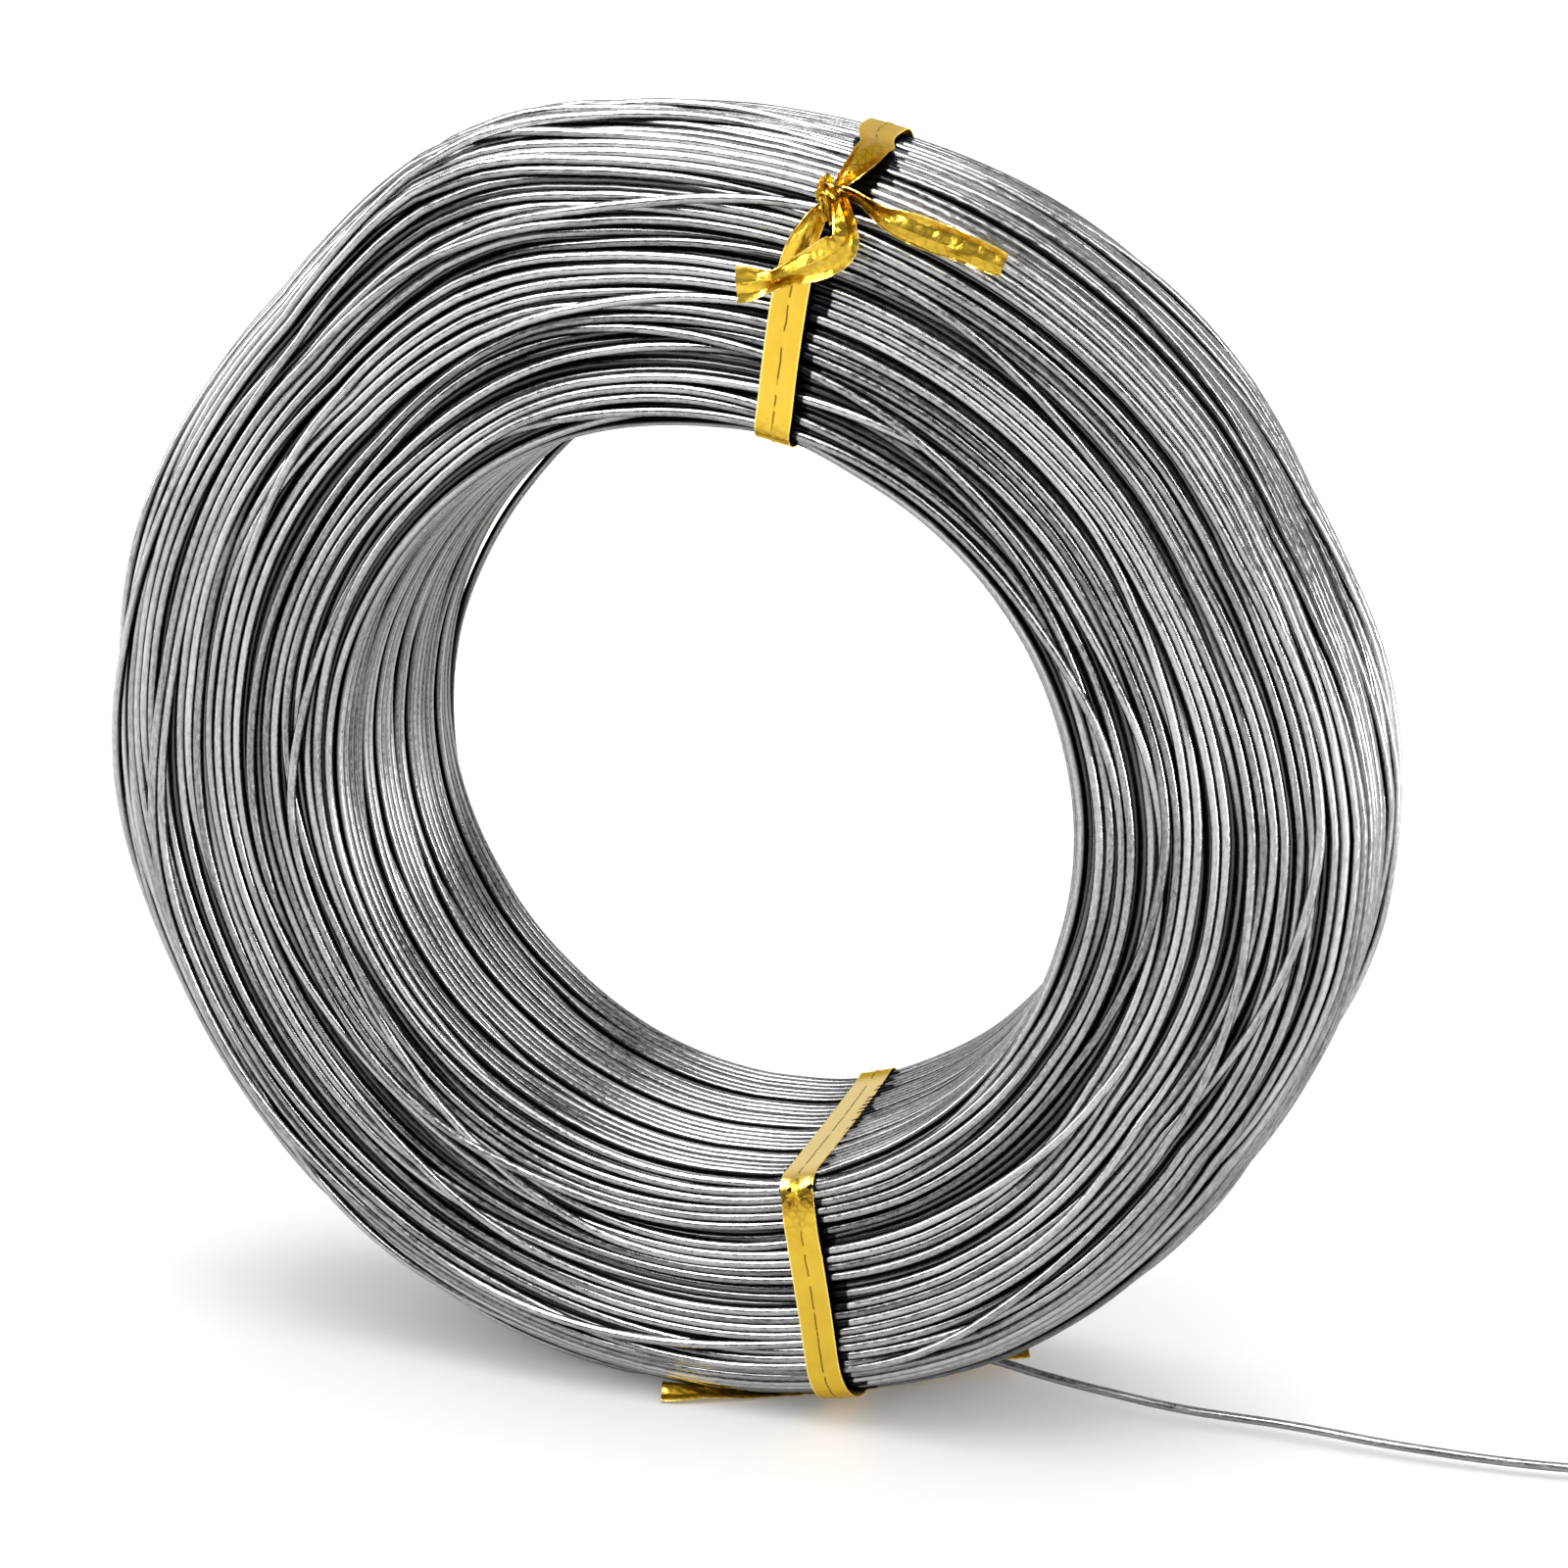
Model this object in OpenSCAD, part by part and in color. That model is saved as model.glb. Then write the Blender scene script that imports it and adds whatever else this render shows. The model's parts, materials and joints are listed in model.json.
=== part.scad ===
// Coil of round aluminium craft wire, tied at the top and the bottom with two flat gold ties.
// It stands on its rim. The origin is the middle of the bore, +Y runs along the bore
// and the front of the coil looks along -Y.

/* [Wire] */
// Diameter of the wire
wire_d = 1.0; // [0.8:0.05:1.2]
// Open space between neighbouring turns at the surface
turn_gap = 0.1; // [0.05:0.05:0.4]

/* [Coil] */
// Outside diameter over the turns
coil_d = 140; // [120:1:170]
// Diameter of the bore
bore_d = 81; // [60:1:90]
// Width of the coil along its bore
coil_w = 30; // [24:1:40]
// Rounding of the two corners at the rim
rim_corner_r = 7; // [4:0.5:9]
// Rounding of the two corners at the bore
bore_corner_r = 2.5; // [2:0.25:4]

/* [Ties] */
// Width of a tie
tie_w = 4; // [3:0.25:5]
// Thickness of a tie beside its core
tie_t = 0.35; // [0.25:0.05:0.5]
// Diameter of the core that makes the ridge along a tie
tie_core_d = 0.6; // [0.5:0.05:0.8]
// Gap between a tie and the turns that it holds
tie_gap = 0.1; // [0.05:0.05:0.2]
// Place of the top tie, clockwise from the top as seen from the front
top_tie_angle = 12.5; // [5:0.5:25]
// Place of the bottom tie, clockwise from the top as seen from the front
bottom_tie_angle = 165; // [160:0.5:167]
// How far in from the rim of the coil the top tie's knot sits
top_knot_depth = 4; // [3:0.5:8]
// Place of the bottom tie's knot along the bore, from the middle of the coil
bottom_knot_y = -5; // [-7:0.5:-3]

/* [Hidden] */
$fn = 96;

wire_r = wire_d / 2;
turn_pitch = wire_d + turn_gap;
turn_sides = 8;
coil_r = coil_d / 2;
bore_r = bore_d / 2;
half_w = coil_w / 2;
floor_z = -coil_r;

// middles of the section's rounded corners, as distances from the axis and along it
rim_corner_x = coil_r - rim_corner_r;
rim_corner_y = half_w - rim_corner_r;
bore_corner_x = bore_r + bore_corner_r;
bore_corner_y = half_w - bore_corner_r;

// a tie lies in a channel that it presses into the bore, flush with the bore's wall
tie_rise = tie_t + tie_core_d / 2;
flush_gap = 0.05;
channel_x = bore_r + flush_gap + tie_rise + tie_gap;
channel_w = tie_w + 4 * tie_gap;
channel_corner_x = channel_x + bore_corner_r;

// the top knot sits in the tie where it bends over the corner of the rim
knot_bend_r = rim_corner_r + tie_gap + tie_t / 2;
knot_rise = max(0, rim_corner_r - top_knot_depth);
top_knot_r = coil_r - top_knot_depth;
top_knot_y = -rim_corner_y - sqrt(knot_bend_r * knot_bend_r - knot_rise * knot_rise);

// the bottom knot lies under the rim, pressed a little into the ridge of its tie
gathered = [0.4, 1.6];
knot_bite = 0.28;
tie_ridge_r = coil_r + tie_gap + tie_rise;
bottom_knot_x = coil_r * sin(bottom_tie_angle);
bottom_knot_z = coil_r + tie_ridge_r * cos(bottom_tie_angle) - gathered.y * tie_rise + knot_bite;

// turns that fit in a length, and the places of a number of turns in it
function turns_in(length) = max(1, floor(length / turn_pitch));
function places(start, end, n) = [for (i = [0 : n - 1]) start + (i + 0.5) * (end - start) / n];

// the wall of the bore has an odd number of turns, so that one is at its middle
bore_turns = 2 * floor(turns_in(2 * bore_corner_y) / 2) + 1;
rim_turns = turns_in(2 * rim_corner_y);
face_turns = turns_in(rim_corner_x - bore_corner_x);

// middles of the turns round one corner of the section, each with the way that it looks
function corner_turns(middle, radius, start) =
    let (r = radius - wire_r, n = turns_in(r * PI / 2))
    [for (a = places(start, start + 90, n)) [middle.x + r * cos(a), middle.y + r * sin(a), a]];

surface_turns = concat(
    [for (y = places(-rim_corner_y, rim_corner_y, rim_turns)) [coil_r - wire_r, y, 0]],
    [for (y = places(-bore_corner_y, bore_corner_y, bore_turns)) [bore_r + wire_r, y, 0]],
    [for (x = places(bore_corner_x, rim_corner_x, face_turns), s = [-1, 1]) [x, s * (half_w - wire_r), 0]],
    corner_turns([rim_corner_x, rim_corner_y], rim_corner_r, 0),
    corner_turns([rim_corner_x, -rim_corner_y], rim_corner_r, -90),
    corner_turns([bore_corner_x, bore_corner_y], bore_corner_r, 90),
    corner_turns([bore_corner_x, -bore_corner_y], bore_corner_r, 180)
);

// the loose end of the wire springs off the rim and sinks nearly to the floor: along the coil,
// towards the back, above the floor
end_route = [
    [23, -1.6, 2.7], [26, -2.1, 3.8], [28.8, -2.4, 4.25], [31.6, -2.4, 4.0], [36, -2.2, 3.15],
    [40.5, -2.2, 2.55], [45, -2.2, 2.1], [49.5, -2.2, 1.7], [53.5, -1.9, 1.35], [58, -1.6, 1.2],
    [63, -1.4, 1.15], [68, -1.5, 1.1], [73, -1.7, 1.0], [79, -1.7, 0.95], [85, -1.4, 0.85],
    [91, -0.9, 0.85], [98, 0.1, 0.9], [105, 1.2, 1.0]
];
end_steps = 3;

// The free ends of a tie are one ribbon that turns back at the knot, where its film is gathered.
// Each row has a place from the knot, to the right, towards the back and upwards, then the way
// that the ribbon's face looks, then its width and its thickness as shares of the tie's own.
top_ribbon = [
    [[-7.2, -2.0, -10.6], [0, -1, 0.1], [1, 1]],
    [[-4.2, -2.3, -9.8], [0, -1, 0], [1, 1]],
    [[-1.2, -3.0, -8.6], [-0.1, -1, -0.2], [1, 1]],
    [[1.6, -3.6, -6.8], [0, -0.9, -0.5], [1, 1]],
    [[2.6, -3.6, -4.4], [0.6, -0.7, -0.2], [0.8, 1.2]],
    [[1.6, -2.6, -2.4], [0.9, 0.3, 0.2], [0.5, 2]],
    [[0.2, -1.5, -1.3], [0.9, 0.5, 0.1], [0.35, 2.6]],
    [[0, -0.7, 0], [1, 0.3, 0], [0.35, 2.6]],
    [[0.4, -1.3, 1.1], [0.6, 0.5, 0.6], [0.35, 2.6]],
    [[2.4, -2.4, 0.6], [0, -0.6, 0.8], [0.6, 1.6]],
    [[5.6, -3.2, -0.9], [0, -0.9, 0.4], [0.95, 1]],
    [[9.5, -3.8, -1.3], [0, -1, 0.3], [1, 1]],
    [[13.8, -4.1, -1.6], [0, -1, 0.2], [1, 1]],
    [[18.0, -4.2, -1.9], [0, -1, 0.1], [1, 1]]
];
// here the place is from the knot's foot on the floor
bottom_ribbon = [
    [[-22.5, -9.8, 0.8], [0, -0.2, 1], [1, 1]],
    [[-16.8, -9.3, 1.0], [0, 0.3, 1], [1, 1]],
    [[-11.0, -8.6, 0.65], [0, 0.15, 1], [1, 1]],
    [[-5.2, -5.2, 0.4], [0, 0.1, 1], [0.8, 1]],
    [[-2.0, -1.2, 0.45], [0, 0.1, 1], [0.4, 1.8]],
    [[0, 0, bottom_knot_z], [0, 0, 1], gathered],
    [[2.0, 0.8, 0.6], [0, 0.2, 1], [0.4, 1.8]],
    [[4.8, 3.4, 1.2], [0, -0.1, 1], [0.8, 1.2]],
    [[8.6, 7.2, 2.1], [0, 0.1, 1], [1, 1]],
    [[13.4, 10.6, 2.0], [0, 0.1, 1], [1, 1]]
];
ribbon_steps = 3;

function unit(v) = v / norm(v);

// one stretch of a smooth curve through a list of values, at t from 0 to 1
function stretch(list, i, t) =
    let (
        last = len(list) - 1,
        a = list[max(i - 1, 0)], b = list[i], c = list[min(i + 1, last)], d = list[min(i + 2, last)]
    )
    0.5 * (2 * b + (c - a) * t + (2 * a - 5 * b + 4 * c - d) * t * t + (3 * b - a - 3 * c + d) * t * t * t);

function smooth(list, steps) = concat(
    [for (i = [0 : len(list) - 2], k = [0 : steps - 1]) stretch(list, i, k / steps)],
    [list[len(list) - 1]]
);

// One solid along a route, with an outline at each point. An outline's second axis looks along
// the face given for the point.
module sweep(route, faces, outlines) {
    n = len(route);
    m = len(outlines[0]);
    rings = [for (i = [0 : n - 1])
        let (
            along = unit(route[min(i + 1, n - 1)] - route[max(i - 1, 0)]),
            side = unit(cross(along, faces[i])),
            out = cross(side, along)
        )
        for (q = outlines[i]) route[i] + q.x * side + q.y * out];
    walls = [for (i = [0 : n - 2], j = [0 : m - 1])
        let (a = i * m + j, b = i * m + (j + 1) % m)
        [a, b, b + m, a + m]];
    polyhedron(
        rings,
        concat(
            [[for (j = [m - 1 : -1 : 0]) j]],
            [for (w = walls, half = [0, 1]) half == 0 ? [w[0], w[1], w[2]] : [w[0], w[2], w[3]]],
            [[for (j = [0 : m - 1]) (n - 1) * m + j]]
        )
    );
}

// a turn, with one of its flat sides towards the way that it looks
module turn(place) {
    half_side = 180 / turn_sides;
    translate([place.x, place.y]) rotate(place.z + half_side)
        circle(r = wire_r / cos(half_side), $fn = turn_sides);
}

// section of the coil, with the distance from the axis along X: the turns stand out of the packed
// middle all round
module coil_section() {
    translate([bore_r + wire_r, -bore_corner_y])
        square([rim_corner_x - bore_r - wire_d, 2 * bore_corner_y]);
    translate([bore_corner_x, wire_r - half_w])
        square([rim_corner_x - bore_corner_x, coil_w - wire_d]);
    translate([rim_corner_x - wire_r, -rim_corner_y])
        square([rim_corner_r, 2 * rim_corner_y]);
    for (s = [-1, 1]) {
        translate([rim_corner_x, s * rim_corner_y]) circle(r = rim_corner_r - wire_r);
        translate([bore_corner_x, s * bore_corner_y]) circle(r = bore_corner_r - wire_r);
    }
    for (p = surface_turns) turn(p);
}

// the space outside a tie's loop at the bore, which the tie presses into the turns
module bore_channel(angle) {
    reach = bore_corner_r + 1;
    rotate([0, angle, 0]) rotate([0, -90, 0]) linear_extrude(channel_w, center = true) difference() {
        translate([channel_corner_x - reach, -half_w - 1]) square([reach, coil_w + 2]);
        translate([channel_x, -bore_corner_y]) square([reach, 2 * bore_corner_y]);
        for (s = [-1, 1]) translate([channel_corner_x, s * bore_corner_y]) circle(r = bore_corner_r);
    }
}

module wire_coil() {
    color("silver") difference() {
        rotate([90, 0, 0]) rotate_extrude() coil_section();
        bore_channel(top_tie_angle);
        bore_channel(bottom_tie_angle);
    }
}

module wire_end() {
    route = [for (p = smooth(end_route, end_steps)) p + [0, 0, floor_z + wire_r]];
    outline = [for (a = [22.5 : 45 : 359]) wire_r * [cos(a), sin(a)]];
    color("silver") sweep(route, [for (p = route) [0, 0, 1]], [for (p = route) outline]);
}

// section of a tie, with its thickness along X and its core's ridge outside
module tie_section() {
    translate([0, -tie_w / 2]) square([tie_t, tie_w]);
    translate([tie_t, 0]) circle(d = tie_core_d, $fn = 24);
}

// a straight stretch of a tie in the plane of its loop, with its outside towards an angle
module tie_run(start, length, angle) {
    translate(start) rotate([0, 0, angle]) rotate([90, 0, 0]) linear_extrude(length) tie_section();
}

// a quarter bend of a tie in the plane of its loop
module tie_bend(middle, radius, angle) {
    translate(middle) rotate([0, 0, angle]) rotate_extrude(angle = 90) translate([radius, 0]) tie_section();
}

// the loop of a tie round the section of the coil, with the distance from the axis upwards
module tie_loop() {
    y = half_w + tie_gap;
    side_l = rim_corner_x - channel_corner_x;
    rotate([0, -90, 0]) {
        tie_run([coil_r + tie_gap, rim_corner_y], 2 * rim_corner_y, 0);
        tie_run([channel_corner_x, y], side_l, 90);
        tie_run([channel_x - tie_gap, -bore_corner_y], 2 * bore_corner_y, 180);
        tie_run([rim_corner_x, -y], side_l, 270);
        tie_bend([rim_corner_x, rim_corner_y], rim_corner_r + tie_gap, 0);
        tie_bend([channel_corner_x, bore_corner_y], bore_corner_r + tie_gap, 90);
        tie_bend([channel_corner_x, -bore_corner_y], bore_corner_r + tie_gap, 180);
        tie_bend([rim_corner_x, -rim_corner_y], rim_corner_r + tie_gap, 270);
    }
}

// the free ends of a tie
module ribbon(rows) {
    edge = tie_w / 2;
    core = tie_core_d / 2;
    sizes = smooth([for (r = rows) r[2]], ribbon_steps);
    outlines = [for (s = sizes)
        let (e = s.x * edge, c = s.x * core, t = s.y * tie_t, top = s.y * tie_rise)
        [[0, 0], [e, 0], [e, t], [c, t], [0, top], [-c, t], [-e, t], [-e, 0]]];
    sweep(
        smooth([for (r = rows) r[0]], ribbon_steps),
        smooth([for (r = rows) r[1]], ribbon_steps),
        outlines
    );
}

module top_tie() {
    color("gold") rotate([0, top_tie_angle, 0]) {
        tie_loop();
        translate([0, top_knot_y, top_knot_r]) ribbon(top_ribbon);
    }
}

module bottom_tie() {
    color("gold") {
        rotate([0, bottom_tie_angle, 0]) tie_loop();
        translate([bottom_knot_x, bottom_knot_y, floor_z]) ribbon(bottom_ribbon);
    }
}

wire_coil();
wire_end();
top_tie();
bottom_tie();
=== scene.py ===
import json
import math
from types import SimpleNamespace
import bpy
import numpy as np
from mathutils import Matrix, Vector


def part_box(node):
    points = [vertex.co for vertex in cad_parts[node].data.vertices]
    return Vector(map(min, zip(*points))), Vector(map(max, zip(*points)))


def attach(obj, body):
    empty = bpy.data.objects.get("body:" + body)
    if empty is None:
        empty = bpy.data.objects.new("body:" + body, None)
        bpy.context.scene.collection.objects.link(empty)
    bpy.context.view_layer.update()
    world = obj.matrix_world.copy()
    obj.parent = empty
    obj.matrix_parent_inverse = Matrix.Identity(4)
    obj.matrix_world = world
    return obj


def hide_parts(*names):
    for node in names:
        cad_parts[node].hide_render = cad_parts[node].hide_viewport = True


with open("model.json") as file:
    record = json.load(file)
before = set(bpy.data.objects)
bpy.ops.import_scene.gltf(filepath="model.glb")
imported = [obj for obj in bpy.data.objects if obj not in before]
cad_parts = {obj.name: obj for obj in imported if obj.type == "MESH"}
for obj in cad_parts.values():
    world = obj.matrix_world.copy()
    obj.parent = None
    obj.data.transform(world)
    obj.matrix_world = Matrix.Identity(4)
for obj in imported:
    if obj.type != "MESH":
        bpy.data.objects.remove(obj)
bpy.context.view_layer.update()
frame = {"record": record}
coilLow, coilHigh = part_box("wire_coil")
mount = frame["record"]["mounts"][0]

# sizes of the coil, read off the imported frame; the origin is the middle of the bore
coil = {
    "rimR": coilHigh[2],
    "boreR": mount["dims"]["r_mm"] / 1000,
    "halfW": coilHigh[1],
    "floorZ": coilLow[2],
    "rimCornerR": 0.007,
    "boreCornerR": 0.0025,
    "wireD": 0.001,
    "topTie": 12.5,        # degrees clockwise from the top, seen from the front
    "bottomTie": 165.0,
}

camera = {
    "place": (0.09467, -0.28939, 0.10276),
    "aim": (0.00551, 0.0, -0.00072),
    "roll": 0.2,           # degrees
    "lens": 68.04,
    "sensor": 36,
}


def addCamera():
    place = Vector(camera["place"])
    look = (Vector(camera["aim"]) - place).to_track_quat("-Z", "Y").to_euler()
    bpy.ops.object.camera_add(location=place, rotation=look)
    cam = bpy.context.object
    cam.rotation_euler.rotate_axis("Z", math.radians(camera["roll"]))
    cam.data.lens = camera["lens"]
    cam.data.sensor_width = camera["sensor"]
    cam.data.clip_start = 0.01
    cam.data.clip_end = 20
    bpy.context.scene.camera = cam


addCamera()
print("camera set")


looseEnd = {
    "route": [      # along the coil, towards the back, above the floor, in metres
        (0.023, -0.0016, 0.0027), (0.026, -0.0021, 0.0038), (0.0288, -0.0024, 0.00425),
        (0.0316, -0.0024, 0.004), (0.036, -0.0022, 0.00315), (0.0405, -0.0022, 0.00255),
        (0.045, -0.0022, 0.0021), (0.0495, -0.0022, 0.0017), (0.0535, -0.0019, 0.00135),
        (0.058, -0.0016, 0.0012), (0.063, -0.0014, 0.00115), (0.068, -0.0015, 0.0011),
        (0.073, -0.0017, 0.001), (0.079, -0.0017, 0.00095), (0.085, -0.0014, 0.00085),
        (0.091, -0.0009, 0.00085), (0.098, 0.0001, 0.0009), (0.105, 0.0012, 0.001),
    ],
}


def deselectAll():
    if bpy.context.object and bpy.context.object.mode != "OBJECT":
        bpy.ops.object.mode_set(mode="OBJECT")
    bpy.ops.object.select_all(action="DESELECT")


def addLooseEnd():
    deselectAll()
    bpy.ops.curve.primitive_bezier_curve_add(location=(0, 0, 0))
    piece = bpy.context.object
    piece.name = "looseEnd"
    curve = piece.data
    curve.dimensions = "3D"
    curve.splines.clear()
    line = curve.splines.new("BEZIER")
    line.bezier_points.add(len(looseEnd["route"]) - 1)
    low = coil["floorZ"] + coil["wireD"] / 2
    for point, (x, y, up) in zip(line.bezier_points, looseEnd["route"]):
        point.co = (x, y, low + up)
        point.handle_left_type = point.handle_right_type = "AUTO"
        point.radius = coil["wireD"] / 2
    line.resolution_u = 6
    curve.bevel_depth = 1      # times each point's radius
    curve.bevel_resolution = 3
    curve.use_fill_caps = True
    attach(piece, "root")
    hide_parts("wire_end")
    return piece


looseWire = addLooseEnd()
print("loose end laid")


winding = {
    "seed": 11,
    "lower": 90,           # turns in the layer under the surface
    "facePitch": 1.09,     # millimetres between surface turns
    "borePitch": 1.03,
    "strays": 3,           # turns that lie on top of the others
    "strayReach": 0.033,   # metres round the section, from the middle of the rim, where strays start
    "crossings": 70,       # places where a turn crosses over one to four neighbours
    "stations": 216,
    "rounds": 130,
    "passes": 3,           # times that neighbours push each other apart in a round
    "neighbours": 6,
    "pushShare": 0.7,
    "homePull": 0.03,
    "stiffness": 14,       # waves round the coil past which a turn no longer bends
    "endStiffness": 20,
    "tieReach": 4.5,       # degrees beside a tie over which it presses the turns
    "boreEdge": 0.0012,    # metres off the bore's wall that still count as bore
    # in wire diameters
    "sharedWave": 0.1,
    "ownWave": 0.17,
    "lowerDepth": 0.87,
    "strayHeight": 2.5,
    "startHeight": (0.1, 0.7),
    "sink": 0.05,
    "borePress": 0.85,
    "facePress": 0.3,
    "bed": 0.88,           # how deep the layer under the surface turns lies, at least
    "softBed": 0.8,        # and where the bundles' waves start from
}

# degrees round the coil, and heights in wire diameters
crossing = {
    "over": (1, 1, 2, 2, 3, 4),        # neighbours crossed, one of these by lot
    "ramp": (12, 17),
    "run": (25, 170),
    "lift": (0.9, 1.6),
    "fromLoose": 0.9,                  # only where turns lie at least this loosely
}
stray = {"shift": (1.5, 4), "run": (60, 180), "ramp": (25, 45)}
tieHold = {"flat": 3, "free": 9, "height": 0.02, "slope": 0.2}

# how bundles sink and rise: waves round the section and round the coil, wire diameters, phase
bundleWaves = (
    (7, 1, 0.16, 0.5), (11, 2, 0.15, 2.1), (17, -1, 0.15, 4.0), (26, 3, 0.13, 1.2), (31, -2, 0.12, 5.1),
)

# how far the real coil's rim and bore stand off a true circle, as degrees clockwise and millimetres
rimShape = [
    (-180, 0), (-148, 0.5), (-132, 0.1), (-112, -0.5), (-96, -0.4), (-80, -0.9), (-63, -0.6),
    (-50, -0.5), (-42, -0.4), (-36, 0.7), (-30, 1.9), (-25, 2.8), (-19, 3.0), (-15, 2.5),
    (-10, 1.5), (-4, 0.7), (4, 0), (20, -0.6), (35, -1.0), (50, -1.2), (60, -1.9), (68, -1.7),
    (76, -0.9), (86, -0.1), (99, -0.2), (105, -0.7), (110, -1.3), (120, -2.4), (128, -2.0),
    (140, -1.0), (150, -0.3), (165, 0), (180, 0),
]
boreFrontShape = [
    (-180, 0.8), (-140, 0.3), (-110, 0), (-60, 0), (0, 0.2), (25, -0.2), (60, -0.4), (75, -0.6),
    (105, -0.6), (120, -0.3), (150, 0.6), (180, 0.8),
]
boreBackShape = [
    (-180, 0.6), (-170, 0.1), (-157, -0.7), (-142, -1.6), (-120, -2.2), (-96, -2.2), (-80, -2.0),
    (-63, -1.5), (-50, -1.0), (-36, -0.5), (-20, 0), (120, 0.2), (140, 0.7), (180, 0.6),
]


def tableAt(table, degrees):
    degrees = (np.asarray(degrees) + 180) % 360 - 180
    return np.interp(degrees, [a for a, _ in table], [v / 1000 for _, v in table])


# the section's outline through the middles of the surface turns, with its outward normals
def sectionLine():
    wireR = coil["wireD"] / 2
    rimR, boreR, halfW = coil["rimR"], coil["boreR"], coil["halfW"]
    rimC, boreC = coil["rimCornerR"], coil["boreCornerR"]
    points = []

    def straight(a, b, normal, count=60):
        for t in np.linspace(0, 1, count, endpoint=False):
            points.append((a[0] + (b[0] - a[0]) * t, a[1] + (b[1] - a[1]) * t, *normal))

    def corner(middle, radius, start, end, count=40):
        for a in np.radians(np.linspace(start, end, count, endpoint=False)):
            x, y = math.cos(a), math.sin(a)
            points.append((middle[0] + radius * x, middle[1] + radius * y, x, y))

    straight((rimR - wireR, 0), (rimR - wireR, rimC - halfW), (1, 0))
    corner((rimR - rimC, rimC - halfW), rimC - wireR, 0, -90)
    straight((rimR - rimC, wireR - halfW), (boreR + boreC, wireR - halfW), (0, -1))
    corner((boreR + boreC, boreC - halfW), boreC - wireR, -90, -180)
    straight((boreR + wireR, boreC - halfW), (boreR + wireR, halfW - boreC), (-1, 0))
    corner((boreR + boreC, halfW - boreC), boreC - wireR, -180, -270)
    straight((boreR + boreC, halfW - wireR), (rimR - rimC, halfW - wireR), (0, 1))
    corner((rimR - rimC, halfW - rimC), rimC - wireR, 90, 0)
    straight((rimR - wireR, halfW - rimC), (rimR - wireR, 0), (1, 0))
    points.append(points[0])
    rows = np.array(points)
    steps = np.hypot(np.diff(rows[:, 0]), np.diff(rows[:, 1]))
    return np.concatenate([[0], np.cumsum(steps)]), rows


lineU, lineRows = sectionLine()
aroundL = lineU[-1]


# a place on the coil: distance round the section, height over the surface turns, degrees clockwise
def placeOn(u, h, degrees):
    u, h, degrees = np.broadcast_arrays(u, h, degrees)
    x, y, nx, ny = (np.interp(u % aroundL, lineU, lineRows[:, i]) for i in range(4))
    x, y = x + h * nx, y + h * ny
    out = np.clip((x - coil["boreR"]) / (coil["rimR"] - coil["boreR"]), 0, 1)
    back = np.clip(y / coil["halfW"] / 2 + 0.5, 0, 1)
    boreOff = tableAt(boreFrontShape, degrees) * (1 - back) + tableAt(boreBackShape, degrees) * back
    x = x + boreOff * (1 - out) + tableAt(rimShape, degrees) * out
    a = np.radians(degrees)
    return np.stack([x * np.sin(a), y, x * np.cos(a)], axis=-1)


def smoothStep(values, low, high):
    t = np.clip((values - low) / (high - low), 0, 1)
    return t * t * (3 - 2 * t)


# a wire doesn't bend in short waves
def stiffen(rows, limit):
    waves = np.fft.rfft(rows, axis=1)
    k = np.arange(waves.shape[1])
    waves *= np.exp(-(k / limit) ** 4)
    return np.fft.irfft(waves, n=rows.shape[1], axis=1)


def between(degrees, first, last, width):
    inside = (degrees - first + width) % 360 - width
    span, soft = last - first, width / 2
    return smoothStep(inside, -soft, soft) * (1 - smoothStep(inside, span - soft, span + soft))


# how loosely the turns lie: 0 in the bore, where they were wound on a drum, and 1 elsewhere
def looseness(u):
    return np.interp(u % aroundL * 1000, (38.4, 42, 65.5, 69.5), (1, 0, 0, 1))


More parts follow.
